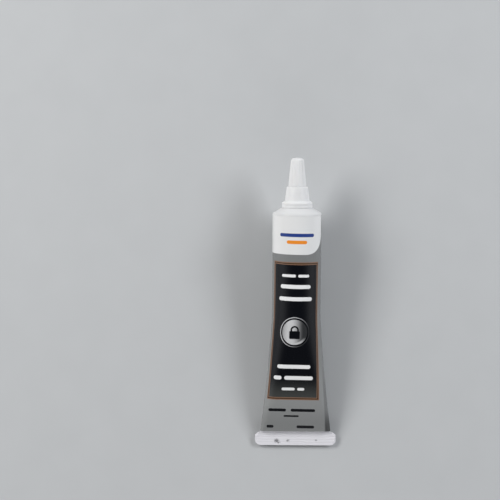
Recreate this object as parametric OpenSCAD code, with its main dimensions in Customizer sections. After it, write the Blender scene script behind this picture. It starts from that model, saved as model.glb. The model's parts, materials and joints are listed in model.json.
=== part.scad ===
// Squeeze tube of powdered graphite for locks, lying on its flattened back.
// Millimetres. It rests on z = 0 and its nozzle points along +Y, a few degrees upwards.
// The revolved pieces and the sleeve are drawn along the tube's own axis, from the
// sealed end upwards, with the printed front on -Y, and lie() then lays them down.

/* [Sleeve] */
// Outside diameter of the sleeve where it is round
sleeve_d = 21.2; // [19:0.2:25]
// Thickness of the sleeve's wall
sleeve_wall = 0.5; // [0.4:0.05:0.7]
// Length of the round part, up to the head
round_length = 41.2; // [30:0.2:60]
// Length that flattens, from the round part to the seal
wedge_length = 54; // [46:0.5:70]
// Length of the soft bend between the round part and the wedge
bend_length = 6; // [3:0.5:10]
// Depth of the wedge where it meets the seal
wedge_mouth = 4.7; // [3.6:0.1:6]
// Length of the rounded step from the wedge down to the seal
mouth_length = 0.9; // [0.6:0.1:1.6]
// How far the wedge's width draws in at its middle
side_waist = 0.85; // [0:0.05:1.4]

/* [Seal] */
// Length of the heat seal along the tube
seal_length = 5.8; // [5:0.2:9]
// Thickness of the heat seal
seal_thickness = 1; // [0.8:0.05:1.4]
// How far the pressed seal spreads past the folded sleeve, on each side
seal_spread = 0.95; // [0.5:0.05:1.5]
// Radius of the seal's outer corners
seal_corner_r = 2.2; // [1:0.2:3]
// Height of the slope on the seal's inner corners
ear_rise = 1.2; // [0.8:0.1:1.8]
// Width of the slope on the seal's inner corners
ear_reach = 1.5; // [1:0.1:2.2]
// Number of grooves pressed across each face of the seal
groove_count = 4; // [2:1:5]
// Depth of each pressed groove
groove_depth = 0.12; // [0.08:0.02:0.2]
// Radius of each pressed groove
groove_r = 0.4; // [0.3:0.05:0.5]

/* [Head] */
// Length of the skirt inside the sleeve
skirt_length = 5; // [3:0.5:8]
// Wall of the skirt
skirt_wall = 0.8; // [0.6:0.1:1.2]
// Radius of the rounded edge between sleeve and shoulder
rim_r = 1.3; // [0.8:0.1:2]
// Slope of the shoulder's cone
shoulder_slope = 30; // [20:1:40]
// Thickness of the shoulder
shoulder_wall = 1.2; // [0.9:0.1:1.5]
// Outside diameter of the neck
neck_d = 7; // [6.4:0.1:7.6]
// Height of the neck above the shoulder
neck_height = 7.2; // [5:0.2:7.4]
// Bore of the neck
neck_bore_d = 4.4; // [3.6:0.1:5]
// Chamfer at the top of the neck
neck_chamfer = 0.4; // [0.2:0.1:0.6]

/* [Nozzle] */
// Diameter of the nozzle's collar, over its rings
collar_d = 13.2; // [12:0.2:15]
// Height of the ringed part of the collar
collar_height = 2.2; // [1.6:0.1:3]
// Number of rings round the collar
ring_count = 2; // [1:1:3]
// Depth of the groove beside each ring
ring_depth = 0.22; // [0.1:0.02:0.3]
// Height of the slope above the collar
collar_slope_height = 0.8; // [0.5:0.1:1.2]
// Diameter at the foot of the nozzle's cone
cone_foot_d = 10.7; // [10.2:0.1:11.6]
// Diameter at the top of the nozzle's cone
cone_top_d = 9.2; // [9:0.1:9.8]
// Height of the nozzle's cone
cone_height = 6.1; // [5.5:0.1:9]
// Radius of the rounded edge round the cone's top
cone_edge_r = 0.45; // [0.3:0.05:0.6]
// Diameter at the foot of the spout
spout_foot_d = 5; // [4.4:0.1:5.4]
// Diameter at the tip of the spout
spout_tip_d = 2.7; // [2.4:0.1:3.2]
// Length of the spout
spout_length = 10.9; // [8:0.1:13]
// Radius of the rounded edge at the spout's tip
spout_edge_r = 0.25; // [0.15:0.05:0.35]
// Bore of the spout
orifice_d = 1.6; // [1.2:0.1:1.8]
// Height of the funnel from the neck's bore to the spout's bore
funnel_height = 3; // [2:0.2:4]

/* [Cap] */
// Diameter at the foot of the cap
cap_foot_d = 7.8; // [7.4:0.1:8]
// Diameter at the shoulder of the cap, below its rounded top
cap_top_d = 5.7; // [5.4:0.1:6.2]
// Thickness of the cap's crown
crown_thickness = 1.5; // [1.2:0.1:2.5]
// Radius of the cap's rounded top edge
cap_edge_r = 1.4; // [0.8:0.1:1.6]
// Radius of the dome that closes the cap's top
cap_dome_r = 7; // [5:0.5:12]
// Number of grip flutes round the cap
flute_count = 18; // [12:1:20]
// Depth of each grip flute
flute_depth = 0.14; // [0.08:0.02:0.18]
// Radius of each grip flute
flute_r = 0.4; // [0.3:0.05:0.45]
// Plain band below the flutes
cap_band = 1; // [0.6:0.1:2]
// Diameter of the plug that closes the spout
plug_d = 1.4; // [1:0.1:1.5]
// Length of the plug inside the spout
plug_length = 1.6; // [1:0.1:3]

/* [Graphite] */
// Distance from the sealed end to which the graphite powder fills the tube
fill_length = 47; // [35:1:50]

/* [Clearances] */
// Gap between the bonded head and the sleeve
bond_gap = 0.02; // [0.01:0.01:0.03]
// Gap round the neck, on which the nozzle turns
turn_gap = 0.06; // [0.04:0.01:0.1]
// Gap under the nozzle and under the cap, where they seat
seat_gap = 0.05; // [0.03:0.01:0.1]
// Gap between the cap and the spout
cap_gap = 0.08; // [0.05:0.01:0.12]
// Gap between the powder and the sleeve's wall
powder_gap = 0.2; // [0.1:0.05:0.3]

/* [Hidden] */
$fn = 96;
flute_fn = 24;
half_sides = 32;
powder_half_sides = 16;
bend_steps = 5;
taper_steps = 9;
arc_steps = 8;
overrun = 0.5;
// The rounded step down to the seal, from its foot on the seal to its top on the wedge
mouth_shares = [1, 0.92, 0.75, 0.5, 0.25];
// The foot of that step is thinner than the seal and starts inside it
foot_share = 0.8;
// The end of the wedge runs a little way into the round tube's wall, between its two faces
join_share = 0.05;

// The sleeve: its perimeter stays what it was when round
round_start = seal_length + wedge_length;
sleeve_end = round_start + round_length;
taper_length = wedge_length - mouth_length;
closing_length = taper_length - bend_length / 2;
lean = atan((sleeve_d - wedge_mouth) / 2 / closing_length);
mouth_width = folded_width(wedge_mouth);
seal_width = PI * sleeve_d / 2 + 2 * seal_spread;
join_inset = join_share * sleeve_wall;

// The head
skirt_r = sleeve_d / 2 - sleeve_wall - bond_gap;
rim_top_r = sleeve_d / 2 - rim_r + rim_r * sin(shoulder_slope);
rim_top = sleeve_end + bond_gap + rim_r * cos(shoulder_slope);
shoulder_top = rim_top + (rim_top_r - collar_d / 2) * tan(shoulder_slope);
neck_top = shoulder_top + neck_height;

// The nozzle
nozzle_base = shoulder_top + seat_gap;
collar_top = nozzle_base + collar_height;
cone_foot = collar_top + collar_slope_height;
nozzle_seat = cone_foot + cone_height;
socket_r = neck_d / 2 + turn_gap;
socket_top = neck_top + seat_gap;
spout_tip = nozzle_seat + spout_length;

// The cap
cap_base = nozzle_seat + seat_gap;
cavity_top = spout_tip + seat_gap;
cap_top = cavity_top + crown_thickness;
edge_centre_r = cap_top_d / 2 - cap_edge_r;
// The dome's centre lies on the axis, and the rounded edge runs into the dome without a corner
dome_centre = cap_top - cap_dome_r;
cap_shoulder = dome_centre + sqrt(pow(cap_dome_r - cap_edge_r, 2) - pow(edge_centre_r, 2));
tube_length = cap_top;

// The pose on the surface: the wedge's flat back lies on z = 0
corner_station = round_start - bend_length / 2;
axis_lift = sleeve_d / 2 * cos(lean) - corner_station * sin(lean);

// Width of the sleeve where it is flattened to a given depth
function folded_width(depth) = (PI * sleeve_d - (PI - 2) * depth) / 2;
// Depth of the sleeve where it is spread to a given width
function folded_depth(width) = (PI * sleeve_d - 2 * width) / (PI - 2);

// How far the wedge has closed, from 0 to 1, at a distance from the round part
function closing(x) =
    (x < bend_length ? x * x / 2 / bend_length : x - bend_length / 2) / closing_length;
function wedge_width(c) =
    sleeve_d + (mouth_width - sleeve_d) * c - side_waist * 4 * c * (1 - c);
// Height of the flat back below the tube's axis
function wedge_back(c) = (sleeve_d - (sleeve_d - wedge_mouth) * c) / 2;

// A cross-section is [station, width, depth, distance of its back from the axis]
function wedge_section(x) =
    let (c = closing(x), width = wedge_width(c))
    [round_start - x, width, folded_depth(width), wedge_back(c)];
function mouth_section(share) =
    let (foot = foot_share * seal_thickness,
         depth = foot + (wedge_mouth - foot) * cos(90 * share))
    [seal_length + mouth_length * (1 - share), mouth_width, depth, depth / 2];
function inset(section, by) =
    [section[0], section[1] - 2 * by, section[2] - 2 * by, section[3] - by];

// The points of one cross-section: two half circles joined by a flat front and a flat back
function ring(section, sides) =
    let (r = section[2] / 2, reach = section[1] / 2 - r)
    [for (half = [0, 1], i = [0 : sides])
        let (turn = 90 - 180 * (half + i / sides))
        [(half == 0 ? reach : -reach) + r * cos(turn),
         section[3] - r - r * sin(turn),
         section[0]]];

// Points along an arc of a profile, from one angle to another
function arc(centre_r, centre_z, r, from, to) =
    [for (i = [0 : arc_steps])
        let (turn = from + (to - from) * i / arc_steps)
        [centre_r + r * cos(turn), centre_z + r * sin(turn)]];

// Lays the tube down: its axis rises by the lean angle and its printed front faces up
module lie() {
    translate([0, -tube_length * cos(lean) / 2, axis_lift])
        rotate([lean - 90, 0, 0])
            children();
}

// A closed skin over a list of rings that all have the same number of points
module skin(rings) {
    count = len(rings[0]);
    polyhedron(
        points = [for (points = rings) each points],
        faces = concat(
            [[for (i = [0 : count - 1]) i]],
            [for (j = [0 : len(rings) - 2], i = [0 : count - 1])
                let (a = j * count + i, b = j * count + (i + 1) % count)
                each [[a, a + count, b], [b, a + count, b + count]]],
            [[for (i = [count - 1 : -1 : 0]) (len(rings) - 1) * count + i]]));
}

taper_places = [for (j = [taper_steps : -1 : 0])
    bend_length + (taper_length - bend_length) * j / taper_steps];
bend_places = [for (i = [bend_steps - 1 : -1 : 1]) bend_length * i / bend_steps];
wedge_sections = [for (x = concat(taper_places, bend_places)) wedge_section(x)];
join_section = [round_start + overrun, sleeve_d, sleeve_d - join_inset, sleeve_d / 2];

// The flattened part: its skin runs up the outside to the round tube and back down the inside
module sleeve_wedge() {
    foot = mouth_section(1);
    outside = concat(
        [[foot[0] - overrun, foot[1], foot[2], foot[3]]],
        [for (share = mouth_shares) mouth_section(share)],
        wedge_sections,
        [inset(join_section, join_inset)]);
    inside = concat(
        [inset(mouth_section(mouth_shares[2]), sleeve_wall)],
        [inset(mouth_section(mouth_shares[3]), sleeve_wall)],
        [inset(mouth_section(mouth_shares[4]), sleeve_wall)],
        [for (section = wedge_sections) inset(section, sleeve_wall)],
        [inset(join_section, sleeve_wall - 2 * join_inset)]);
    last = len(inside) - 1;
    skin(concat(
        [for (section = outside) ring(section, half_sides)],
        [for (i = [last : -1 : 0]) ring(inside[i], half_sides)]));
}

module sleeve_round() {
    translate([0, 0, round_start])
        difference() {
            cylinder(d = sleeve_d, h = round_length);
            translate([0, 0, -overrun])
                cylinder(d = sleeve_d - 2 * sleeve_wall, h = round_length + 2 * overrun);
        }
}

// Outline of the seal, seen from the front
module seal_outline() {
    half = seal_width / 2;
    corner = half - seal_corner_r;
    polygon(concat(
        arc(corner, seal_corner_r, seal_corner_r, -90, 0),
        [[half, seal_length - ear_rise],
         [half - ear_reach, seal_length],
         [ear_reach - half, seal_length],
         [-half, seal_length - ear_rise]],
        arc(-corner, seal_corner_r, seal_corner_r, 180, 270)));
}

module sleeve_seal() {
    pitch = seal_length / (groove_count + 1);
    difference() {
        rotate([90, 0, 0])
            linear_extrude(height = seal_thickness, center = true)
                seal_outline();
        for (face = [-1, 1], i = [1 : groove_count])
            translate([0, face * (seal_thickness / 2 + groove_r - groove_depth), i * pitch])
                rotate([0, 90, 0])
                    cylinder(r = groove_r, h = seal_width + overrun, center = true, $fn = flute_fn);
    }
}

module sleeve() {
    color("slategray")
        lie()
            union() {
                sleeve_round();
                sleeve_wedge();
                sleeve_seal();
            }
}

// Shoulder and neck in one moulding, bonded into the sleeve by a skirt
module tube_head() {
    skirt_bore_r = skirt_r - skirt_wall;
    drop = shoulder_wall / cos(shoulder_slope);
    under_neck = shoulder_top - shoulder_wall;
    // Where the cone's inner face reaches the flat ceiling under the neck
    ceiling_r = rim_top_r - (under_neck + drop - rim_top) / tan(shoulder_slope);
    color("whitesmoke")
        lie()
            rotate_extrude()
                polygon(concat(
                    [[skirt_bore_r, sleeve_end - skirt_length],
                     [skirt_r, sleeve_end - skirt_length],
                     [skirt_r, sleeve_end + bond_gap]],
                    arc(sleeve_d / 2 - rim_r, sleeve_end + bond_gap, rim_r,
                        0, 90 - shoulder_slope),
                    [[collar_d / 2, shoulder_top],
                     [neck_d / 2, shoulder_top],
                     [neck_d / 2, neck_top - neck_chamfer],
                     [neck_d / 2 - neck_chamfer, neck_top],
                     [neck_bore_d / 2, neck_top],
                     [neck_bore_d / 2, under_neck],
                     [ceiling_r, under_neck],
                     [skirt_bore_r,
                      rim_top + (rim_top_r - skirt_bore_r) * tan(shoulder_slope) - drop]]));
}

// Rounded rings round the collar, with a groove beside each
function collar_profile() =
    [for (i = [0 : ring_count * arc_steps])
        let (ripple = 1 - cos(360 * i / arc_steps))
        [collar_d / 2 - ring_depth + ring_depth * ripple / 2,
         nozzle_base + collar_height * i / ring_count / arc_steps]];

// Nozzle: a ringed collar, a cone that screws over the neck, and the spout
module nozzle() {
    color("whitesmoke")
        lie()
            rotate_extrude()
                polygon(concat(
                    [[socket_r, nozzle_base]],
                    collar_profile(),
                    [[cone_foot_d / 2, cone_foot]],
                    arc(cone_top_d / 2 - cone_edge_r, nozzle_seat - cone_edge_r, cone_edge_r, 0, 90),
                    [[spout_foot_d / 2, nozzle_seat]],
                    arc(spout_tip_d / 2 - spout_edge_r, spout_tip - spout_edge_r, spout_edge_r, 0, 90),
                    [[orifice_d / 2, spout_tip],
                     [orifice_d / 2, socket_top + funnel_height],
                     [neck_bore_d / 2, socket_top],
                     [socket_r, socket_top]]));
}

// Radius of the cap's outside at a height, below its rounded top
function cap_r(z) =
    let (share = (z - cap_base) / (cap_shoulder - cap_base))
    (cap_foot_d + (cap_top_d - cap_foot_d) * share) / 2;

module cap_body() {
    wall_angle = atan((spout_foot_d - spout_tip_d) / 2 / (spout_length - spout_edge_r));
    gap = cap_gap / cos(wall_angle);
    dome_from = atan2(cap_shoulder - dome_centre, edge_centre_r);
    dome = arc(0, dome_centre, cap_dome_r, dome_from, 90);
    rotate_extrude()
        polygon(concat(
            [[spout_foot_d / 2 + gap, cap_base],
             [cap_foot_d / 2, cap_base]],
            arc(edge_centre_r, cap_shoulder, cap_edge_r, 0, dome_from),
            [for (i = [1 : arc_steps - 1]) dome[i]],
            [[0, cap_top],
             [0, spout_tip - plug_length],
             [plug_d / 2, spout_tip - plug_length],
             [plug_d / 2, cavity_top],
             [spout_tip_d / 2 + gap, cavity_top],
             [spout_tip_d / 2 + gap, spout_tip - spout_edge_r]]));
}

// Grip flutes, sloped with the cap's side
module cap_flutes() {
    foot = cap_base + cap_band;
    slope = atan((cap_foot_d - cap_top_d) / 2 / (cap_shoulder - cap_base));
    for (i = [0 : flute_count - 1])
        rotate([0, 0, 360 * i / flute_count])
            translate([cap_r(foot) + flute_r - flute_depth, 0, foot])
                rotate([0, -slope, 0])
                    cylinder(r = flute_r, h = cap_top - foot + overrun, $fn = flute_fn);
}

// Small push-on cap with a plug in its crown
module cap() {
    color("white")
        lie()
            difference() {
                cap_body();
                cap_flutes();
            }
}

// The settled charge of powder, which takes the inner shape of the wedge
module graphite_powder() {
    gap = sleeve_wall + powder_gap;
    fill_x = round_start - fill_length;
    sections = concat(
        [mouth_section(mouth_shares[3])],
        [for (j = [taper_steps : -1 : 0])
            wedge_section(fill_x + (taper_length - fill_x) * j / taper_steps)]);
    color("dimgray")
        lie()
            skin([for (section = sections) ring(inset(section, gap), powder_half_sides)]);
}

sleeve();
tube_head();
nozzle();
cap();
graphite_powder();
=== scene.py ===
"""Looks of the squeeze tube of powdered graphite: sleeve, head, nozzle, cap and powder.

The tube lies on its flattened back. Shapes are drawn in millimetres in the tube's own
frame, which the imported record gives: x to the right, h out of the printed front, and s
along the axis from the sealed end. place() turns such a point into metres in the row frame.
"""

import json
import math

import bpy
from mathutils import Euler, Matrix, Vector, noise


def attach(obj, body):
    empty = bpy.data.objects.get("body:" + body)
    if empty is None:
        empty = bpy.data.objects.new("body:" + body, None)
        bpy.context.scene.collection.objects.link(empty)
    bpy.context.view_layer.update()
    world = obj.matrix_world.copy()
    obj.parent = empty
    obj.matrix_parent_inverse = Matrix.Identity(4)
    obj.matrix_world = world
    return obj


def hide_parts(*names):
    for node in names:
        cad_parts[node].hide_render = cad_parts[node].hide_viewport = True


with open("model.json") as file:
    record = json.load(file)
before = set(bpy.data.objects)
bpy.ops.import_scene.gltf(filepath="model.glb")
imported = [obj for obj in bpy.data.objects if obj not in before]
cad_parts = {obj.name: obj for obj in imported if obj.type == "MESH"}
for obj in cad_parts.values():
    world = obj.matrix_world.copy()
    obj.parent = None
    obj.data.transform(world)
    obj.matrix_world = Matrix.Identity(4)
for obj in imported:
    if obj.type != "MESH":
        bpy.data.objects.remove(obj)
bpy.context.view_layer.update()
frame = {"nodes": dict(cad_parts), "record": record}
MM = 0.001

# Sleeve and seal, in millimetres
SLEEVE_D = 21.2
SLEEVE_WALL = 0.5
ROUND_LENGTH = 41.2
WEDGE_LENGTH = 54.0
BEND_LENGTH = 6.0
WEDGE_MOUTH = 4.7
MOUTH_LENGTH = 0.9
SIDE_WAIST = 0.85
SEAL_LENGTH = 5.8
SEAL_THICKNESS = 1.0
SEAL_SPREAD = 0.95
SEAL_CORNER_R = 2.2
EAR_RISE = 1.2
EAR_REACH = 1.5
GROOVES = 4
GROOVE_DEPTH = 0.12
GROOVE_HALF = 0.42
# The pressed grooves wander by so much, over lumps of this size across and along, and their
# depth keeps a share and varies by another, over lumps of the last size
GROOVE_WANDER = 0.3
GROOVE_LUMP = (5.0, 3.0)
GROOVE_KEPT_SHARE = 0.7
GROOVE_VARIED_SHARE = 0.6
GROOVE_FADE_LUMP = 7.0
# Grooves are only in the seal's two faces: they start this far off its middle plane
FACE_FROM = 0.3
FACE_FADE = 0.15
# Unevenness of the squeezed sleeve: its depth, its lumps along and round, and how far it takes
# to fade in from the seal, from the head and up from the flat back
HOLLOW_DEPTH = 0.11
HOLLOW_LUMP = 24.0
HOLLOW_ROUND_SHARE = 1.1
HOLLOW_FROM_SEAL = 12.0
HOLLOW_FROM_HEAD = 25.0
HOLLOW_FROM_BACK = 2.0
BACK_MARGIN = 0.05

# Head, nozzle and cap, in millimetres
BOND_GAP = 0.02
RIM_R = 1.3
SHOULDER_SLOPE = math.radians(30)
SHOULDER_WALL = 1.2
SKIRT_LENGTH = 5.0
SKIRT_WALL = 0.8
NECK_D = 7.0
NECK_HEIGHT = 7.2
NECK_BORE_D = 4.4
COLLAR_D = 13.2
COLLAR_HEIGHT = 2.2
COLLAR_RINGS = 2
RING_DEPTH = 0.08
COLLAR_SLOPE = 0.8
CONE_FOOT_D = 10.7
CONE_TOP_D = 9.2
CONE_HEIGHT = 6.1
CONE_EDGE_R = 0.45
SPOUT_FOOT_D = 5.0
SPOUT_TIP_D = 2.7
SPOUT_LENGTH = 10.9
SPOUT_EDGE_R = 0.25
ORIFICE_D = 1.6
FUNNEL_HEIGHT = 3.0
TURN_GAP = 0.06
SEAT_GAP = 0.05
CAP_GAP = 0.08
CAP_FOOT_D = 7.8
CAP_TOP_D = 5.7
CROWN = 1.5
CAP_EDGE_R = 1.4
CAP_DOME_R = 7.0
FLUTES = 18
FLUTE_DEPTH = 0.14
CAP_BAND = 1.0
# Flutes are drawn on the side alone, give or take this much, fade in over this length above the
# plain band, and fade out on the crown from this radius to three quarters of it
FLUTE_MARGIN = 0.02
FLUTE_FADE = 0.5
FLUTE_CROWN_R = 2.5
FLUTE_SHARPNESS = 1.5
PLUG_D = 1.4
PLUG_LENGTH = 1.6
# Dimple that the moulding gate leaves in the cap's crown
GATE_R = 0.35
GATE_DEPTH = 0.1
# Faint lines round the cone, this far below the cap's seat
LINES_DOWN = (5.0, 3.9, 2.8)
LINE_DEPTH = 0.045
LINE_HALF = 0.16
# The neck's thread
THREAD_DEPTH = 0.45
THREAD_PITCH = 2.0
THREAD_TURNS = 2.25
THREAD_HALF = 0.42
THREAD_RISE = 1.3
# Its ridge starts this deep in the neck, stands out this far from there, and runs out over this
# share of its length at either end, down to this share of its size
THREAD_SUNK = 0.05
THREAD_STANDS = 0.49
THREAD_RUNOUT = 0.05
THREAD_END = 0.02

# Points round the sleeve and round turned pieces, and the angle from which an edge is sharp
AROUND = 256
TURNED_STEPS = 200
STEPS_PER_FLUTE = 16
SHARP_ANGLE = math.radians(50)
# Steps along: the sleeve's seal, mouth, wedge and round part, a collar's ring, the cone, the
# cap's side, and the thread, which has this many sides
SEAL_STEPS = 58
MOUTH_STEPS = 10
WEDGE_STEPS = 72
ROUND_STEPS = 28
RING_STEPS = 14
CONE_STEPS = 41
CAP_STEPS = 46
THREAD_STEPS = 200
THREAD_SIDES = 8

# Worked out from those
PERIMETER = math.pi * SLEEVE_D
ROUND_START = SEAL_LENGTH + WEDGE_LENGTH
SLEEVE_END = ROUND_START + ROUND_LENGTH
TAPER_LENGTH = WEDGE_LENGTH - MOUTH_LENGTH
CLOSING_LENGTH = TAPER_LENGTH - BEND_LENGTH / 2
MOUTH_WIDTH = (PERIMETER - (math.pi - 2) * WEDGE_MOUTH) / 2
SEAL_WIDTH = PERIMETER / 2 + 2 * SEAL_SPREAD
RIM_TOP_R = SLEEVE_D / 2 - RIM_R + RIM_R * math.sin(SHOULDER_SLOPE)
RIM_TOP = SLEEVE_END + BOND_GAP + RIM_R * math.cos(SHOULDER_SLOPE)
SHOULDER_TOP = RIM_TOP + (RIM_TOP_R - COLLAR_D / 2) * math.tan(SHOULDER_SLOPE)
NECK_TOP = SHOULDER_TOP + NECK_HEIGHT
NOZZLE_BASE = SHOULDER_TOP + SEAT_GAP
COLLAR_TOP = NOZZLE_BASE + COLLAR_HEIGHT
CONE_FOOT = COLLAR_TOP + COLLAR_SLOPE
NOZZLE_SEAT = CONE_FOOT + CONE_HEIGHT
SPOUT_TIP = NOZZLE_SEAT + SPOUT_LENGTH
CAP_BASE = NOZZLE_SEAT + SEAT_GAP
CAVITY_TOP = SPOUT_TIP + SEAT_GAP
CAP_TOP = CAVITY_TOP + CROWN
CAP_EDGE_CENTRE = CAP_TOP_D / 2 - CAP_EDGE_R
DOME_CENTRE = CAP_TOP - CAP_DOME_R
CAP_SHOULDER = DOME_CENTRE + math.sqrt((CAP_DOME_R - CAP_EDGE_R) ** 2 - CAP_EDGE_CENTRE ** 2)
DOME_FROM = math.degrees(math.atan2(CAP_SHOULDER - DOME_CENTRE, CAP_EDGE_CENTRE))
CONE_LINES = [NOZZLE_SEAT - down for down in LINES_DOWN]
# The sleeve's inside ends here, in its mouth
INSIDE_FROM = SEAL_LENGTH + MOUTH_LENGTH * 0.35
# Round edges are kept this much inside the arcs that the solids follow in short straight steps
SKIN = 0.01

# The tube's axis, from the mount on its round sleeve
BARREL = next(m for m in frame["record"]["mounts"] if m["name"] == "sleeve_barrel")
ALONG = Vector(BARREL["axis"]).normalized()
RIGHT = Vector((1, 0, 0))
FRONT = RIGHT.cross(ALONG)
SEALED_END = Vector(BARREL["pos_m"]) - ALONG * (ROUND_START + ROUND_LENGTH / 2) * MM


def place(x, h, s):
    """A point of the tube's own frame, in metres in the row frame."""
    return SEALED_END + (RIGHT * x + FRONT * h + ALONG * s) * MM


def smooth(share):
    """An even rise from 0 to 1."""
    share = min(max(share, 0.0), 1.0)
    return share * share * (3 - 2 * share)


def mesh_object(name, points, faces, uvs=None):
    """A smooth-shaded object from points in the tube's frame; uvs gives one pair per face corner."""
    mesh = bpy.data.meshes.new(name)
    mesh.from_pydata([place(*p) for p in points], [], faces)
    if uvs:
        layer = mesh.uv_layers.new(name="print_mm")
        for loop, uv in zip(layer.data, uvs):
            loop.uv = uv
    mesh.validate()
    mesh.shade_smooth()
    mesh.set_sharp_from_angle(angle=SHARP_ANGLE)
    piece = bpy.data.objects.new(name, mesh)
    bpy.context.scene.collection.objects.link(piece)
    return piece


# Profiles and revolved pieces


def arc(centre_r, centre_s, r, start, end, steps=8):
    """Points of a profile along an arc, angles in degrees."""
    turns = (math.radians(start + (end - start) * i / steps) for i in range(steps + 1))
    return [(centre_r + r * math.cos(t), centre_s + r * math.sin(t)) for t in turns]


def eased(corners, steps=4, most=0.45):
    """Rounds each corner (r, s, radius) of a closed profile with a curve of about that radius.

    The curve takes no more than a share of the side on either hand.
    """
    out = []
    for i, (r, s, radius) in enumerate(corners):
        here = Vector((r, s))
        before = Vector(corners[i - 1][:2]) - here
        after = Vector(corners[(i + 1) % len(corners)][:2]) - here
        reach = min(radius, before.length * most, after.length * most)
        if reach <= 0:
            out.append((r, s))
            continue
        first, last = here + before.normalized() * reach, here + after.normalized() * reach
        for k in range(steps + 1):
            t = k / steps
            point = first * (1 - t) ** 2 + here * 2 * t * (1 - t) + last * t * t
            out.append((point.x, point.y))
    return out


def sharp(points):
    """Marks points as corners that eased() leaves as they are."""
    return [(r, s, 0.0) for r, s in points]


def revolve(name, profile, steps, radius_at=None):
    """A closed profile of (r, s) turned round the axis; points on the axis are shared."""
    points, rows = [], []
    for r, s in profile:
        if r < 1e-6:
            rows.append([len(points)] * steps)
            points.append((0.0, 0.0, s))
            continue
        rows.append(list(range(len(points), len(points) + steps)))
        for i in range(steps):
            turn = 2 * math.pi * i / steps
            reach = radius_at(r, s, turn) if radius_at else r
            points.append((reach * math.sin(turn), reach * math.cos(turn), s))
    faces = []
    for k, row in enumerate(rows):
        other = rows[(k + 1) % len(rows)]
        for i in range(steps):
            j = (i + 1) % steps
            corners = list(dict.fromkeys((row[i], row[j], other[j], other[i])))
            if len(corners) > 2:
                faces.append(corners)
    return mesh_object(name, points, faces)


# The sleeve


def wedge_section(x):
    """Width, depth and back of the flattening sleeve, at a distance from its round part."""
    x = max(x, 0.0)
    c = (x * x / 2 / BEND_LENGTH if x < BEND_LENGTH else x - BEND_LENGTH / 2) / CLOSING_LENGTH
    width = SLEEVE_D + (MOUTH_WIDTH - SLEEVE_D) * c - SIDE_WAIST * 4 * c * (1 - c)
    depth = (PERIMETER - 2 * width) / (math.pi - 2)
    back = (SLEEVE_D - (SLEEVE_D - WEDGE_MOUTH) * c) / 2
    return width, depth, back


def groove(x, s):
    """Depth of the pressed grooves across the seal, which wander a little and fade here and there."""
    s += GROOVE_WANDER * noise.noise(Vector((x / GROOVE_LUMP[0], s / GROOVE_LUMP[1], 2.0)))
    pitch = SEAL_LENGTH / (GROOVES + 1)
    nearest = min(max(round(s / pitch), 1), GROOVES) * pitch
    off = abs(s - nearest) / GROOVE_HALF
    lump = noise.noise(Vector((x / GROOVE_FADE_LUMP, nearest, 5.0)))
    fade = GROOVE_KEPT_SHARE + GROOVE_VARIED_SHARE * lump
    return GROOVE_DEPTH * fade * (math.cos(math.pi * off) + 1) / 2 if off < 1 else 0.0


def seal_section(s):
    """Width, depth and back of the seal, with rounded outer corners and sloping ears."""
    half = SEAL_WIDTH / 2
    if s < SEAL_CORNER_R:
        drop = SEAL_CORNER_R - s
        half -= SEAL_CORNER_R - math.sqrt(max(SEAL_CORNER_R ** 2 - drop ** 2, 0.0))
    if s > SEAL_LENGTH - EAR_RISE:
        half -= EAR_REACH * (s - SEAL_LENGTH + EAR_RISE) / EAR_RISE
    return 2 * half, SEAL_THICKNESS, SEAL_THICKNESS / 2


def sleeve_section(s):
    """Width, depth and back of the sleeve at any station."""
    if s <= SEAL_LENGTH:
        return seal_section(s)
    if s < SEAL_LENGTH + MOUTH_LENGTH:
        share = 1 - (s - SEAL_LENGTH) / MOUTH_LENGTH
        depth = SEAL_THICKNESS + (WEDGE_MOUTH - SEAL_THICKNESS) * math.cos(math.pi / 2 * share)
        return MOUTH_WIDTH, depth, depth / 2
    return wedge_section(ROUND_START - s)


def on_section(share, width, depth, back):
    """The point of a stadium-shaped section at a share of its perimeter, from -0.5 to 0.5.

    Share 0 is the middle of the printed front, and the middle of the back is where it closes.
    """
    r = depth / 2
    flat = max(width / 2 - r, 0.0)
    half = 2 * flat + math.pi * r
    way, side = abs(share) * 2 * half, math.copysign(1.0, share)
    middle = r - back
    if way <= flat:
        return side * way, middle + r
    if way <= flat + math.pi * r:
        turn = (way - flat) / r
        return side * (flat + r * math.sin(turn)), middle + r * math.cos(turn)
    return side * (half - way), middle - r


def sleeve_stations():
    """Where the sleeve's rings lie: close together on the seal, the mouth and the bend."""
    seal = [SEAL_LENGTH * i / SEAL_STEPS for i in range(SEAL_STEPS + 1)]
    opening = (1 - math.cos(math.pi / 2 * i / MOUTH_STEPS) for i in range(1, MOUTH_STEPS + 1))
    mouth = [SEAL_LENGTH + MOUTH_LENGTH * share for share in opening]
    taper_start = SEAL_LENGTH + MOUTH_LENGTH
    wedge = [taper_start + TAPER_LENGTH * i / WEDGE_STEPS for i in range(1, WEDGE_STEPS + 1)]
    straight = [ROUND_START + ROUND_LENGTH * i / ROUND_STEPS for i in range(1, ROUND_STEPS + 1)]
    return seal + mouth + wedge + straight


def hollow(share, s):
    """Slight unevenness of a squeezed sleeve, always inwards and none at the head or the seal."""
    fade = smooth((s - SEAL_LENGTH - MOUTH_LENGTH) / HOLLOW_FROM_SEAL)
    fade *= smooth((SLEEVE_END - s) / HOLLOW_FROM_HEAD)
    turn = 2 * math.pi * share
    here = Vector((math.cos(turn) * HOLLOW_ROUND_SHARE, math.sin(turn) * HOLLOW_ROUND_SHARE,
                   s / HOLLOW_LUMP))
    return fade * HOLLOW_DEPTH * (noise.noise(here) + 1) / 2


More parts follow.
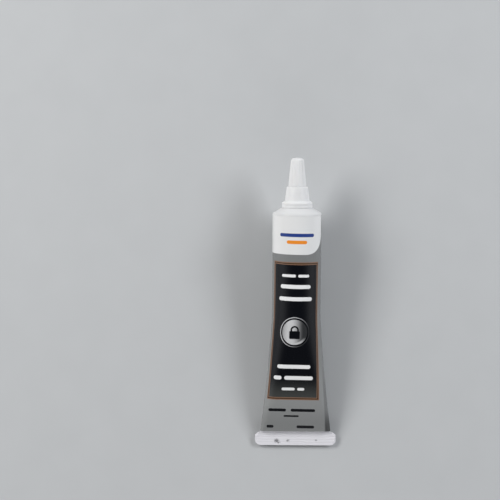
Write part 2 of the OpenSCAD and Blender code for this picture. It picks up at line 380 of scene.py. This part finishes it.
def sleeve_ring(s, wall=0.0):
    """One ring of the sleeve, inset by a wall."""
    width, depth, back = sleeve_section(s)
    ring = []
    for i in range(AROUND):
        share = (i + 0.5) / AROUND - 0.5
        x, h = on_section(share, width - 2 * wall, depth - 2 * wall, back - wall)
        dent = hollow(share, s)
        if x or h:
            reach = math.hypot(x, h)
            # The flat back stays flat, because the tube lies on it
            dent *= smooth((h + back - BACK_MARGIN) / HOLLOW_FROM_BACK)
            x, h = x * (1 - dent / reach), h * (1 - dent / reach)
        if s < SEAL_LENGTH and wall == 0:
            h -= math.copysign(groove(x, s), h) * smooth((abs(h) - FACE_FROM) / FACE_FADE)
        ring.append((x, h, s))
    return ring


def make_sleeve():
    """The printed sleeve: its skin runs up outside, over the end at the head, and back inside."""
    outside = sleeve_stations()
    inside = [s for s in outside if s > INSIDE_FROM][::-1]
    rings = [sleeve_ring(s) for s in outside] + [sleeve_ring(s, SLEEVE_WALL) for s in inside]
    stations = outside + inside
    points = [p for ring in rings for p in ring]
    faces, uvs = [], []
    for k in range(len(rings) - 1):
        for i in range(AROUND):
            j = (i + 1) % AROUND
            faces.append((k * AROUND + i, k * AROUND + j, (k + 1) * AROUND + j, (k + 1) * AROUND + i))
            u0 = ((i + 0.5) / AROUND - 0.5) * PERIMETER
            u1 = u0 + PERIMETER / AROUND
            uvs += [(u0, stations[k]), (u1, stations[k]), (u1, stations[k + 1]), (u0, stations[k + 1])]
    # Each end closes as a strip between its back and its front, from the left to the right
    last = (len(rings) - 1) * AROUND
    for first, station, flip in ((0, stations[0], False), (last, stations[-1], True)):
        back = [first + (AROUND // 4 - 1 - i) % AROUND for i in range(AROUND // 2)]
        front = [first + AROUND // 4 + i for i in range(AROUND // 2)]
        for i in range(AROUND // 2 - 1):
            quad = (back[i], back[i + 1], front[i + 1], front[i])
            faces.append(quad[::-1] if flip else quad)
            uvs += [(0.0, station)] * 4
    piece = mesh_object("printed_sleeve", points, faces, uvs)
    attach(piece, "tube")
    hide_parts("sleeve")
    return piece


# The head, nozzle and cap


def make_head():
    """Shoulder, neck and skirt, with softened edges and a thread on the neck."""
    skirt_r = SLEEVE_D / 2 - SLEEVE_WALL - BOND_GAP
    bore_r = skirt_r - SKIRT_WALL
    drop = SHOULDER_WALL / math.cos(SHOULDER_SLOPE)
    ceiling = SHOULDER_TOP - SHOULDER_WALL
    ceiling_r = RIM_TOP_R - (ceiling + drop - RIM_TOP) / math.tan(SHOULDER_SLOPE)
    cone_in = RIM_TOP + (RIM_TOP_R - bore_r) * math.tan(SHOULDER_SLOPE) - drop
    foot = SLEEVE_END - SKIRT_LENGTH
    core = NECK_D / 2 - THREAD_DEPTH
    profile = eased(
        [(bore_r, foot, 0.1), (skirt_r, foot, 0.2), (skirt_r, SLEEVE_END + BOND_GAP, 0.0)]
        + sharp(arc(SLEEVE_D / 2 - RIM_R, SLEEVE_END + BOND_GAP, RIM_R - SKIN, 0, 60, 12))
        + [(COLLAR_D / 2, SHOULDER_TOP, 0.1), (core, SHOULDER_TOP, 0.15),
           (core, NECK_TOP, 0.3), (NECK_BORE_D / 2, NECK_TOP, 0.2),
           (NECK_BORE_D / 2, ceiling, 0.3), (ceiling_r, ceiling, 0.5), (bore_r, cone_in, 0.5)])
    head = revolve("shoulder_and_neck", profile, TURNED_STEPS)
    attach(head, "tube")
    thread = make_thread(core)
    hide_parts("tube_head")
    return [head, thread]


def make_thread(core):
    """The neck's thread: a rounded ridge along a helix, run out at both ends."""
    steps, sides = THREAD_STEPS, THREAD_SIDES
    start = SHOULDER_TOP + THREAD_RISE
    rings = []
    for i in range(steps + 1):
        share = i / steps
        turn = 2 * math.pi * THREAD_TURNS * share
        fade = math.sqrt(smooth(share / THREAD_RUNOUT) * smooth((1 - share) / THREAD_RUNOUT))
        fade = fade * (1 - THREAD_END) + THREAD_END
        centre = start + THREAD_PITCH * THREAD_TURNS * share
        ring = []
        for k in range(sides):
            bend = 2 * math.pi * k / sides
            reach = core - THREAD_SUNK + THREAD_STANDS * fade * max(math.cos(bend), 0.0)
            ring.append((reach * math.sin(turn), reach * math.cos(turn),
                         centre + THREAD_HALF * fade * math.sin(bend)))
        rings.append(ring)
    points = [p for ring in rings for p in ring]
    faces = []
    for k in range(steps):
        for i in range(sides):
            j = (i + 1) % sides
            faces.append((k * sides + i, (k + 1) * sides + i, (k + 1) * sides + j, k * sides + j))
    faces += [tuple(range(sides)), tuple(steps * sides + i for i in reversed(range(sides)))]
    thread = mesh_object("neck_thread", points, faces)
    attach(thread, "tube")
    return thread


def make_nozzle():
    """Ringed collar, cone and spout, with the faint steps that the cone shows."""
    socket_r, socket_top = NECK_D / 2 + TURN_GAP, NECK_TOP + SEAT_GAP
    ripples = COLLAR_RINGS * RING_STEPS
    collar = []
    for i in range(ripples + 1):
        wave = (1 - math.cos(2 * math.pi * i * COLLAR_RINGS / ripples)) / 2
        collar.append((COLLAR_D / 2 - RING_DEPTH + RING_DEPTH * wave,
                       NOZZLE_BASE + COLLAR_HEIGHT * i / ripples))
    cone = []
    for i in range(1, CONE_STEPS):
        share = i / CONE_STEPS
        s = CONE_FOOT + (CONE_HEIGHT - CONE_EDGE_R) * share
        step = sum(math.exp(-((s - at) / LINE_HALF) ** 2) for at in CONE_LINES) * LINE_DEPTH
        cone.append(((CONE_FOOT_D + (CONE_TOP_D - CONE_FOOT_D) * share) / 2 - step, s))
    profile = eased(
        [(socket_r, NOZZLE_BASE, 0.05)] + sharp(collar)
        + [(CONE_FOOT_D / 2, CONE_FOOT, 0.35)] + sharp(cone)
        + sharp(arc(CONE_TOP_D / 2 - CONE_EDGE_R, NOZZLE_SEAT - CONE_EDGE_R, CONE_EDGE_R, 0, 90))
        + [(SPOUT_FOOT_D / 2, NOZZLE_SEAT, 0.0)]
        + sharp(arc(SPOUT_TIP_D / 2 - SPOUT_EDGE_R, SPOUT_TIP - SPOUT_EDGE_R, SPOUT_EDGE_R, 0, 90))
        + [(ORIFICE_D / 2, SPOUT_TIP, 0.06), (ORIFICE_D / 2, socket_top + FUNNEL_HEIGHT, 0.5),
           (NECK_BORE_D / 2, socket_top, 0.1), (socket_r, socket_top, 0.2)])
    nozzle = revolve("nozzle_moulding", profile, TURNED_STEPS)
    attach(nozzle, "nozzle")
    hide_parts("nozzle")
    return nozzle


def cap_outline():
    """The cap's outside, from its foot to the middle of its domed crown."""
    side = []
    for i in range(1, CAP_STEPS):
        share = i / CAP_STEPS
        side.append(((CAP_FOOT_D + (CAP_TOP_D - CAP_FOOT_D) * share) / 2,
                     CAP_BASE + (CAP_SHOULDER - CAP_BASE) * share))
    edge = arc(CAP_EDGE_CENTRE, CAP_SHOULDER, CAP_EDGE_R - SKIN, 0, DOME_FROM, 14)
    dome = []
    for r, s in arc(0, DOME_CENTRE, CAP_DOME_R - SKIN, DOME_FROM, 90, 10)[1:-1]:
        dome.append((r, s - GATE_DEPTH * math.exp(-((r / GATE_R) ** 2))))
    return side + edge + dome + [(0.0, CAP_TOP - SKIN - GATE_DEPTH)]


def fluted(r, s, turn):
    """The cap's radius with its grip flutes, none on the plain foot or the middle of the crown."""
    foot = CAP_BASE + CAP_BAND
    side = CAP_FOOT_D + (CAP_TOP_D - CAP_FOOT_D) * (s - CAP_BASE) / (CAP_SHOULDER - CAP_BASE)
    outside = r > side / 2 - FLUTE_MARGIN or s > CAP_SHOULDER
    if not outside or s < foot:
        return r
    fade = smooth((s - foot) / FLUTE_FADE) * smooth(r / FLUTE_CROWN_R * 4 - 3)
    wave = max(math.cos(FLUTES * turn), 0.0) ** FLUTE_SHARPNESS
    return r - FLUTE_DEPTH * fade * wave


def make_cap():
    """The small fluted cap, hollow over the spout, with its plug."""
    angle = math.atan((SPOUT_FOOT_D - SPOUT_TIP_D) / 2 / (SPOUT_LENGTH - SPOUT_EDGE_R))
    gap = CAP_GAP / math.cos(angle)
    profile = eased(
        [(SPOUT_FOOT_D / 2 + gap, CAP_BASE, 0.1), (CAP_FOOT_D / 2, CAP_BASE, 0.05)]
        + sharp(cap_outline())
        + [(0.0, SPOUT_TIP - PLUG_LENGTH, 0.0), (PLUG_D / 2, SPOUT_TIP - PLUG_LENGTH, 0.2),
           (PLUG_D / 2, CAVITY_TOP, 0.0), (SPOUT_TIP_D / 2 + gap, CAVITY_TOP, 0.0),
           (SPOUT_TIP_D / 2 + gap, SPOUT_TIP - SPOUT_EDGE_R, 0.0)])
    cap = revolve("fluted_cap", profile, FLUTES * STEPS_PER_FLUTE, fluted)
    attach(cap, "cap")
    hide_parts("cap")
    return cap


# Sums in a material's node tree


class Term:
    """A number in a node tree, with ordinary sums, so that a mask reads as one."""

    def __init__(self, tree, socket):
        self.tree, self.socket = tree, socket

    def sum(self, operation, *others, clamp=False):
        """A sum of this number and others, by the node's own name for the operation."""
        node = self.tree.nodes.new("ShaderNodeMath")
        node.operation, node.use_clamp = operation, clamp
        for value, socket in zip((self, *others), node.inputs):
            if isinstance(value, Term):
                self.tree.links.new(value.socket, socket)
            else:
                socket.default_value = value
        return Term(self.tree, node.outputs[0])

    def __add__(self, other):
        return self.sum("ADD", other)

    def __sub__(self, other):
        return self.sum("SUBTRACT", other)

    def __mul__(self, other):
        return self.sum("MULTIPLY", other)

    def __abs__(self):
        return self.sum("ABSOLUTE")

    def most(self, other):
        return self.sum("MAXIMUM", other)

    def least(self, other):
        return self.sum("MINIMUM", other)

    def within(self, soft):
        """1 where this distance is negative and 0 where it is positive, over a soft edge."""
        return (self * (-1 / soft)).sum("ADD", 0.5, clamp=True)

    def rise(self, low, high):
        """An even rise from 0 at low to 1 at high."""
        node = self.tree.nodes.new("ShaderNodeMapRange")
        node.interpolation_type = "SMOOTHSTEP"
        node.inputs["From Min"].default_value = low
        node.inputs["From Max"].default_value = high
        self.tree.links.new(self.socket, node.inputs["Value"])
        return Term(self.tree, node.outputs["Result"])


def length(a, b):
    """Length of the line from the origin to (a, b)."""
    return (a * a + b * b).sum("SQRT")


def block(u, v, centre, size, corner=0.0):
    """Distance to a rectangle with rounded corners."""
    across = abs(u - centre[0]) - (size[0] / 2 - corner)
    up = abs(v - centre[1]) - (size[1] / 2 - corner)
    return length(across.most(0.0), up.most(0.0)) + across.most(up).least(0.0) - corner


def disc(u, v, centre, r):
    """Distance to a disc."""
    return length(u - centre[0], v - centre[1]) - r


class Material:
    """A node material with a Principled shader."""

    def __init__(self, name, **numbers):
        self.data = bpy.data.materials.new(name)
        self.data.use_nodes = True
        self.tree = self.data.node_tree
        self.shader = self.tree.nodes["Principled BSDF"]
        for socket, value in numbers.items():
            self.shader.inputs[socket.replace("_", " ")].default_value = value

    def mix(self, share, low, high):
        """Colour low where share is 0 and high where it is 1."""
        node = self.tree.nodes.new("ShaderNodeMix")
        node.data_type = "RGBA"
        for value, name, kind in ((share, "Factor", "VALUE"), (low, "A", "RGBA"), (high, "B", "RGBA")):
            socket = next(s for s in node.inputs if s.name == name and s.type == kind)
            if isinstance(value, Term):
                self.tree.links.new(value.socket, socket)
            elif isinstance(value, tuple):
                socket.default_value = (*value, 1.0)
            elif isinstance(value, (int, float)):
                socket.default_value = value
            else:
                self.tree.links.new(value, socket)
        return next(s for s in node.outputs if s.type == "RGBA")

    def axis_place(self):
        """Where a point lies in the tube's frame, as x, h and s in millimetres."""
        place_node = self.tree.nodes.new("ShaderNodeTexCoord")
        back = self.tree.nodes.new("ShaderNodeVectorMath")
        back.operation = "SUBTRACT"
        back.inputs[1].default_value = SEALED_END
        self.tree.links.new(place_node.outputs["Object"], back.inputs[0])
        terms = []
        for direction in (RIGHT, FRONT, ALONG):
            dot = self.tree.nodes.new("ShaderNodeVectorMath")
            dot.operation = "DOT_PRODUCT"
            dot.inputs[1].default_value = direction / MM
            self.tree.links.new(back.outputs[0], dot.inputs[0])
            terms.append(Term(self.tree, dot.outputs["Value"]))
        return terms

    def noise(self, scale, detail=3.0, stretch=(1, 1, 1)):
        """Noise over the object, its scale in lumps per metre."""
        place_node = self.tree.nodes.new("ShaderNodeTexCoord")
        mapping = self.tree.nodes.new("ShaderNodeMapping")
        mapping.inputs["Scale"].default_value = stretch
        node = self.tree.nodes.new("ShaderNodeTexNoise")
        node.inputs["Scale"].default_value = scale
        node.inputs["Detail"].default_value = detail
        self.tree.links.new(place_node.outputs["Object"], mapping.inputs["Vector"])
        self.tree.links.new(mapping.outputs["Vector"], node.inputs["Vector"])
        return Term(self.tree, node.outputs[0])

    def bump(self, height, strength, distance):
        """Fine relief from a height, at this strength and over this distance in metres."""
        node = self.tree.nodes.new("ShaderNodeBump")
        node.inputs["Strength"].default_value = strength
        node.inputs["Distance"].default_value = distance
        self.tree.links.new(height.socket, node.inputs["Height"])
        self.tree.links.new(node.outputs["Normal"], self.shader.inputs["Normal"])

    def link(self, value, socket):
        """Feeds a value to one of the shader's sockets."""
        source = value.socket if isinstance(value, Term) else value
        self.tree.links.new(source, self.shader.inputs[socket])


# Materials

WHITE = (0.73, 0.73, 0.73)
HEAD_WHITE = (0.665, 0.665, 0.67)
NOZZLE_WHITE = (0.745, 0.745, 0.75)
CAP_WHITE = (0.725, 0.725, 0.73)
SEAL_WHITE = (0.71, 0.70, 0.735)
GREY_INK = (0.195, 0.20, 0.20)
# The grey with painted light on the wedge, and with less painted light near the seal
GREY_WITH_PAINTED_LIGHT = (0.252, 0.257, 0.257)
GREY_WITH_LESS_PAINTED_LIGHT = (0.208, 0.213, 0.213)
BLACK_INK = (0.0035, 0.004, 0.006)
CHARCOAL_INK = (0.051, 0.053, 0.051)
COPPER_INK = (0.225, 0.127, 0.080)
BROWN_INK = (0.030, 0.016, 0.009)
PALE_INK = (0.80, 0.80, 0.80)
# The badge's silver print, as its painted highlight and its painted shade
SILVER_PAINTED_HIGHLIGHT = (0.56, 0.56, 0.57)
SILVER_PAINTED_SHADE = (0.030, 0.031, 0.033)
# Painted shade: a darker grey where the sleeve's side folds beside the seal
FOLD_SHADE = tuple(c * 0.32 for c in GREY_INK)
SPECK_INK = (0.05, 0.05, 0.055)
BLUE_INK = (0.022, 0.05, 0.22)
ORANGE_INK = (0.80, 0.26, 0.03)
POWDER_TONES = ((0.012, 0.012, 0.013), (0.055, 0.055, 0.06))
FLOOR_TONES = ((0.465, 0.475, 0.485), (0.495, 0.505, 0.515))
# How far the grey ink and the plastics vary from their tone
GREY_VARIES = 0.07
MOTTLE = 0.025

# Lumps per metre in the materials
FLECK_LUMPS = 2600
BRUSH_LUMPS = 900
SPECK_LUMPS = 1800
MOTTLE_LUMPS = 420
PLASTIC_GRAIN = 4200
CAP_GRAIN = 5200
PRINT_GRAIN = 5200
POWDER_LUMPS = 1500
FLOOR_LUMPS = 60

# Roughness, and how much it varies
PRINT_ROUGH = (0.26, 0.08)
PLASTIC_ROUGH = (0.46, 0.12)
POWDER_ROUGH = (0.45, 0.3)
BARE_SEAL_ROUGHER = 0.16
FLOOR_ROUGH = 0.85
# Heights of the grain and of the powder's lumps, in metres
GRAIN_HEIGHT = 0.00003
POWDER_HEIGHT = 0.0002

# The print, in millimetres: across from its own middle line, and along from the sealed end.
# It is turned slightly on the sleeve, about a point of that line.
PRINT_PIVOT = (-0.7, 76.0)
PRINT_TURN = math.radians(0.9)
PATCH_CENTRE = (-5.15, 101.3)
PATCH_SIZE = (40.2, 33.5)
PATCH_CORNER = 10.5
PANEL_CENTRE = (0.0, 51.1)
PANEL_SIZE = (23.4, 60.4)
PANEL_CORNER = 0.25
# The border's two copper lines with a brown one between, each this wide
BORDER = (0.4, 0.4, 0.35)
# How wide the soft edge of a printed shape is
INK_EDGE = 0.12
# Where the tones change, along, as from and to: the grey's two steps of painted light, lighter on the
# wedge and less so near the seal, and the panel's paler foot
PAINTED_LIGHT_AT = (48.0, 24.0)
PAINTED_LIGHT_FADES_AT = (20.0, 9.0)
PANEL_PALES_AT = (32.0, 21.0)
# The badge: a plate in a thin ring, with a plain padlock
BADGE = (0.2, 51.0)
BADGE_R = 6.6
RING_IN = 0.2
RING_HALF = 0.16
PLATE_IN = 1.1
# Its brushed metal, with painted highlights and shade: how much the brushing varies the painted
# light, how dim the left edge stays, and how far the ring's painted light leans
BRUSH_VARIES = 0.5
EDGE_DIM = 0.4
RING_LEAN = 0.4
LOCK_SIZE = (4.6, 3.5)
LOCK_CORNER = 0.5
LOCK_DOWN = 1.2
BOW_R = 1.45
BOW_HALF = 0.36
BOW_UP = 1.0
LEGS_UP = 0.6
LEGS_HALF = 0.5
# Its painted light, as shares of its radius: the painted highlight band across, its dimmer left
# edge, the painted highlight at the foot, and the ring from its painted shade to its painted highlight
# side
BAND_SHARES = (0.60, -0.25)
EDGE_SHARES = (-1.0, -0.35)
FOOT_SHARES = (-0.30, -0.75)
RING_SHARES = (0.9, -0.7)
# The painted highlight at the foot is a rim this wide on the plate, with a soft inner edge
FOOT_IN = 1.0
FOOT_EDGE = 0.3
FOOT_BRIGHT = 0.9
# Painted shade on the sleeve's right side where it folds beside the seal: its edge across, where it
# fades out at the side, its lean, and its two reaches along with their shares
FOLD_EDGE = (14.5, 15.3)
FOLD_END = (22.0, 18.5)
FOLD_LEAN = 0.03
FOLD_LONG = (42.0, 24.0)
FOLD_LONG_SHARE = 0.45
FOLD_SHORT = (17.0, 9.0)
FOLD_SHORT_SHARE = 0.55
# The mark on the white patch: two bars of this height, as place along, width and ink
MARK_ACROSS = 0.3
MARK_HEIGHT = 1.5
MARK_BARS = [(92.9, 16.0, BLUE_INK), (89.9, 9.0, ORANGE_INK)]
# The ink ends this far above the seal
INK_ENDS = 0.45
INK_END_EDGE = 0.15
# Specks of graphite on the seal: place across and along, and radius
SPECKS = [((-8.3, 2.0), 0.68), ((-3.3, 2.0), 0.45), ((-7.4, 1.2), 0.36), ((9.1, 2.2), 0.2)]
# They are longer across, ragged, soft at the edge and not quite opaque
SPECK_SQUEEZE = 0.7
SPECK_RAGGED = 1.2
SPECK_EDGE = 0.5
SPECK_COVERS = 0.75
# Rows of plain bars: place along, height, and the stretches across
PALE_ROWS = [
    (75.4, 1.2, [(-6.2, 0.2), (1.2, 6.2)]),
    (70.7, 1.7, [(-6.8, 7.0)]),
    (65.4, 1.7, [(-7.5, 7.8)]),
    (35.8, 1.7, [(-7.1, 7.5)]),
    (30.8, 1.7, [(-8.6, -5.0), (-3.8, 8.7)]),
    (25.8, 1.2, [(-4.8, 0.9), (2.0, 5.1)]),
]
DARK_ROWS = [
    (16.2, 1.3, [(-10.4, -2.6), (-0.6, 10.1)]),
    (13.5, 0.8, [(-3.6, 3.0)]),
    (8.6, 1.3, [(-10.9, -7.8), (2.2, 9.9)]),
]


def rows(u, v, lines):
    """Mask of rows of bars."""
    ink = None
    for along, height, stretches in lines:
        for low, high in stretches:
            bar = block(u, v, ((low + high) / 2, along), (high - low, height), height / 2)
            ink = bar if ink is None else ink.least(bar)
    return ink.within(INK_EDGE)


def padlock(u, v):
    """Distance to a plain padlock sign, upright with the nozzle up."""
    body = block(u, v, (BADGE[0], BADGE[1] - LOCK_DOWN), LOCK_SIZE, LOCK_CORNER)
    bow = abs(disc(u, v, (BADGE[0], BADGE[1] + BOW_UP), BOW_R)) - BOW_HALF
    above_legs = v - (BADGE[1] + LEGS_UP)
    legs = (abs(abs(u - BADGE[0]) - BOW_R) - BOW_HALF).most(abs(above_legs) - LEGS_HALF)
    return body.least(bow.most(above_legs * -1.0)).least(legs)


def badge(ink, u, v, colour):
    """The badge over a colour: a brushed disc with a painted highlight on its left and along its foot
    and painted shade on its right, in a ring with a painted light side and a painted shade side.
    """
    across, up = (u - BADGE[0]) * (1 / BADGE_R), (v - BADGE[1]) * (1 / BADGE_R)
    rim = (abs(disc(u, v, BADGE, BADGE_R - RING_IN)) - RING_HALF).within(INK_EDGE)
    plate_r = BADGE_R - PLATE_IN
    plate = disc(u, v, BADGE, plate_r).within(INK_EDGE)
    brush = ink.noise(BRUSH_LUMPS, 3.0, (6, 1, 1)) * BRUSH_VARIES + (1 - BRUSH_VARIES / 2)
    edge = across.rise(*EDGE_SHARES) * (1 - EDGE_DIM) + EDGE_DIM
    highlight_band = across.rise(*BAND_SHARES) * edge * brush
    foot = up.rise(*FOOT_SHARES) * disc(u, v, BADGE, plate_r - FOOT_IN).rise(-FOOT_EDGE, FOOT_EDGE)
    painted_metal_light = ink.mix(highlight_band.most(foot * FOOT_BRIGHT), SILVER_PAINTED_SHADE, SILVER_PAINTED_HIGHLIGHT)
    ring_painted_light = (across - up * RING_LEAN).rise(*RING_SHARES)
    colour = ink.mix(rim, colour, ink.mix(ring_painted_light, SILVER_PAINTED_SHADE, SILVER_PAINTED_HIGHLIGHT))
    colour = ink.mix(plate, colour, painted_metal_light)
    return ink.mix(padlock(u, v).within(INK_EDGE), colour, BLACK_INK)


def print_material():
    """Ink on white plastic: grey all round, a black panel with a copper border, and plain bars."""
    ink = Material("printed_plastic", IOR=1.5, Specular_IOR_Level=0.28)
    uv = ink.tree.nodes.new("ShaderNodeUVMap")
    uv.uv_map = "print_mm"
    split = ink.tree.nodes.new("ShaderNodeSeparateXYZ")
    ink.tree.links.new(uv.outputs[0], split.inputs[0])
    u, v = Term(ink.tree, split.outputs["X"]), Term(ink.tree, split.outputs["Y"])
    across, along = u - PRINT_PIVOT[0], v - PRINT_PIVOT[1]
    u = across * math.cos(PRINT_TURN) - along * math.sin(PRINT_TURN)
    v = along * math.cos(PRINT_TURN) + across * math.sin(PRINT_TURN) + PRINT_PIVOT[1]

    patch = block(u, v, PATCH_CENTRE, PATCH_SIZE, PATCH_CORNER).within(INK_EDGE)
    edge = block(u, v, PANEL_CENTRE, PANEL_SIZE, PANEL_CORNER)
    border, gap = edge.within(INK_EDGE), (edge + BORDER[0]).within(INK_EDGE)
    inner = (edge + BORDER[0] + BORDER[1]).within(INK_EDGE)
    panel = (edge + sum(BORDER)).within(INK_EDGE)
    fleck = ink.noise(FLECK_LUMPS, 2.0)

    low, high = (tuple(c * share for c in GREY_INK) for share in (1 - GREY_VARIES, 1 + GREY_VARIES))
    grey = ink.mix(fleck, low, high)
    # Painted light: the grey is lighter along the wedge, and a little less so near the seal
    grey = ink.mix(v.rise(*PAINTED_LIGHT_AT), grey, GREY_WITH_PAINTED_LIGHT)
    grey = ink.mix(v.rise(*PAINTED_LIGHT_FADES_AT), grey, GREY_WITH_LESS_PAINTED_LIGHT)
    colour = ink.mix(patch, grey, WHITE)
    colour = ink.mix(border, colour, COPPER_INK)
    colour = ink.mix(gap, colour, BROWN_INK)
    colour = ink.mix(inner, colour, COPPER_INK)
    colour = ink.mix(panel, colour, ink.mix(v.rise(*PANEL_PALES_AT), BLACK_INK, CHARCOAL_INK))
    colour = ink.mix(rows(u, v, PALE_ROWS), colour, PALE_INK)
    colour = ink.mix(rows(u, v, DARK_ROWS), colour, BLACK_INK)

    colour = badge(ink, u, v, colour)
    for along, width, paint in MARK_BARS:
        bar = block(u, v, (MARK_ACROSS, along), (width, MARK_HEIGHT), MARK_HEIGHT / 2)
        colour = ink.mix(bar.within(INK_EDGE), colour, paint)

    # Painted shade where the sleeve's right side turns away beside the seal
    fold_shade = v.rise(*FOLD_LONG) * FOLD_LONG_SHARE + v.rise(*FOLD_SHORT) * FOLD_SHORT_SHARE
    fold_shade = (u + v * FOLD_LEAN).rise(*FOLD_EDGE) * u.rise(*FOLD_END) * fold_shade
    colour = ink.mix(fold_shade, colour, FOLD_SHADE)

    # No ink on the seal, which keeps a few specks of graphite
    x, _, s = ink.axis_place()
    bare = (s - (SEAL_LENGTH + INK_ENDS)).within(INK_END_EDGE)
    colour = ink.mix(bare, colour, SEAL_WHITE)
    wobble = ink.noise(SPECK_LUMPS, 4.0)
    specks = None
    for (across, along), r in SPECKS:
        spot = length((x - across) * SPECK_SQUEEZE, s - along) - r + (wobble - 0.5) * SPECK_RAGGED
        spot = spot.within(SPECK_EDGE)
        specks = spot if specks is None else specks.most(spot)
    colour = ink.mix(specks * SPECK_COVERS * bare, colour, SPECK_INK)
    ink.link(colour, "Base Color")

    grain = ink.noise(PRINT_GRAIN, 3.0)
    rough, varies = PRINT_ROUGH
    ink.link((fleck - 0.5) * varies + rough + bare * BARE_SEAL_ROUGHER, "Roughness")
    ink.bump(grain, 0.12, GRAIN_HEIGHT)
    return ink.data


def plastic(name, tone, grain=PLASTIC_GRAIN):
    """White polyethylene: slightly waxy, with a faint mottle and a fine moulded grain."""
    look = Material(name, IOR=1.51, Specular_IOR_Level=0.42, Subsurface_Weight=0.12,
                    Subsurface_Scale=0.0012)
    look.shader.inputs["Subsurface Radius"].default_value = (1.0, 0.9, 0.8)
    mottle = look.noise(MOTTLE_LUMPS, 2.0)
    low = tuple(c * (1 - MOTTLE) for c in tone)
    look.link(look.mix(mottle, low, tone), "Base Color")
    fine = look.noise(grain, 3.0)
    rough, varies = PLASTIC_ROUGH
    look.link((fine - 0.5) * varies + rough, "Roughness")
    look.bump(fine, 0.10, GRAIN_HEIGHT)
    return look.data


def graphite_material():
    """Soft dark powder with a slight metallic glint."""
    look = Material("graphite_dust", Metallic=0.35)
    lumps = look.noise(POWDER_LUMPS, 6.0)
    look.link(look.mix(lumps, *POWDER_TONES), "Base Color")
    rough, varies = POWDER_ROUGH
    look.link(lumps * varies + rough, "Roughness")
    look.bump(lumps, 0.8, POWDER_HEIGHT)
    return look.data


def dress(pieces, material):
    """Gives every piece the one material."""
    for piece in pieces:
        piece.data.materials.clear()
        piece.data.materials.append(material)


# Stage, lights and camera

# What one of the photo's pixels covers at the tube's mean height, and where its middle lies
PIXEL = 0.4353 * MM
PHOTO_SIDE = 500
TUBE_PX = (295.4, 302.3)
ELEVATION = math.radians(86)
ROLL = math.radians(0.35)
LENS = 150.0
SENSOR = 36.0
# Half the floor's side, in metres
FLOOR_REACH = 3.0
# The surrounding light: its strength at the horizon and overhead, the heights between which it
# dims, and the stretch towards the sealed end where it falls to half
WORLD_SIDE = 0.85
WORLD_TOP = 0.02
WORLD_DIMS = (0.80, 0.25)
WORLD_HALVES = (-0.65, -0.15)
WORLD_TINT = (0.95, 0.97, 1.0)
# Soft lights as name, place and size in metres, watts and tint
LIGHTS = [
    ("key", (-0.56, 0.27, 0.48), (0.45, 0.24), 4.2, (1.0, 0.995, 0.98)),
    ("fill", (0.56, 0.27, 0.48), (0.45, 0.24), 3.5, (0.96, 0.98, 1.0)),
    ("foot", (0.0, -0.62, 0.22), (0.5, 0.16), 1.2, (1.0, 1.0, 1.0)),
]


def make_stage():
    """A pale floor under the tube."""
    floor = Material("pale_floor", Roughness=FLOOR_ROUGH)
    tone = floor.noise(FLOOR_LUMPS, 2.0)
    floor.link(floor.mix(tone, *FLOOR_TONES), "Base Color")
    mesh = bpy.data.meshes.new("floor")
    corners = [(x * FLOOR_REACH, y * FLOOR_REACH, 0) for x, y in ((-1, -1), (1, -1), (1, 1), (-1, 1))]
    mesh.from_pydata(corners, [], [(0, 1, 2, 3)])
    plate = bpy.data.objects.new("floor", mesh)
    bpy.context.scene.collection.objects.link(plate)
    plate.data.materials.append(floor.data)


def area_light(name, spot, size, watts, tint):
    """A soft rectangular light that faces the tube."""
    data = bpy.data.lights.new(name, "AREA")
    data.shape, data.size, data.size_y = "RECTANGLE", size[0], size[1]
    data.energy, data.color = watts, tint
    lamp = bpy.data.objects.new(name, data)
    bpy.context.scene.collection.objects.link(lamp)
    lamp.location = spot
    lamp.rotation_euler = (-Vector(spot)).to_track_quat("-Z", "Y").to_euler()


def make_world():
    """A soft surrounding light, bright round the horizon, dim overhead and at the sealed end."""
    world = bpy.data.worlds.new("studio")
    bpy.context.scene.world = world
    world.use_nodes = True
    tree = world.node_tree
    direction = tree.nodes.new("ShaderNodeTexCoord")
    split = tree.nodes.new("ShaderNodeSeparateXYZ")
    tree.links.new(direction.outputs["Generated"], split.inputs[0])
    height, along = Term(tree, split.outputs["Z"]), Term(tree, split.outputs["Y"])
    sides = height.rise(*WORLD_DIMS) * (along.rise(*WORLD_HALVES) * 0.5 + 0.5)
    strength = sides * (WORLD_SIDE - WORLD_TOP) + WORLD_TOP
    background = tree.nodes["Background"]
    background.inputs["Color"].default_value = (*WORLD_TINT, 1.0)
    tree.links.new(strength.socket, background.inputs["Strength"])


def make_lights():
    """The soft lights, and plain colours with no film curve."""
    for light in LIGHTS:
        area_light(*light)
    bpy.context.scene.view_settings.view_transform = "Standard"
    bpy.context.scene.view_settings.look = "None"


def make_camera():
    """Nearly straight down on the front, at the photo's scale and place in the frame."""
    data = bpy.data.cameras.new("camera")
    data.lens, data.sensor_width = LENS, SENSOR
    data.clip_start, data.clip_end = 0.01, 10.0
    camera = bpy.data.objects.new("camera", data)
    bpy.context.scene.collection.objects.link(camera)
    roll = Matrix.Rotation(ROLL, 3, "Z")
    right, up = roll @ Vector((1, 0, 0)), roll @ Vector((0, 1, 0))
    off = [(px - PHOTO_SIDE / 2) * PIXEL for px in TUBE_PX]
    aim = place(0, 0, CAP_TOP / 2) - right * off[0] + up * off[1]
    away = Vector((0, -math.cos(ELEVATION), math.sin(ELEVATION)))
    camera.location = aim + away * PHOTO_SIDE * PIXEL * LENS / SENSOR
    tilt = Euler((math.pi / 2 - ELEVATION, 0, 0)).to_matrix()
    camera.rotation_euler = (roll @ tilt).to_euler()
    bpy.context.scene.camera = camera


make_camera()
sleeve = make_sleeve()
head = make_head()
nozzle = make_nozzle()
cap = make_cap()
dress([sleeve], print_material())
dress(head, plastic("head_plastic", HEAD_WHITE))
dress([nozzle], plastic("nozzle_plastic", NOZZLE_WHITE))
dress([cap], plastic("cap_plastic", CAP_WHITE, CAP_GRAIN))
dress([frame["nodes"]["graphite_powder"]], graphite_material())
make_stage()
make_world()
make_lights()
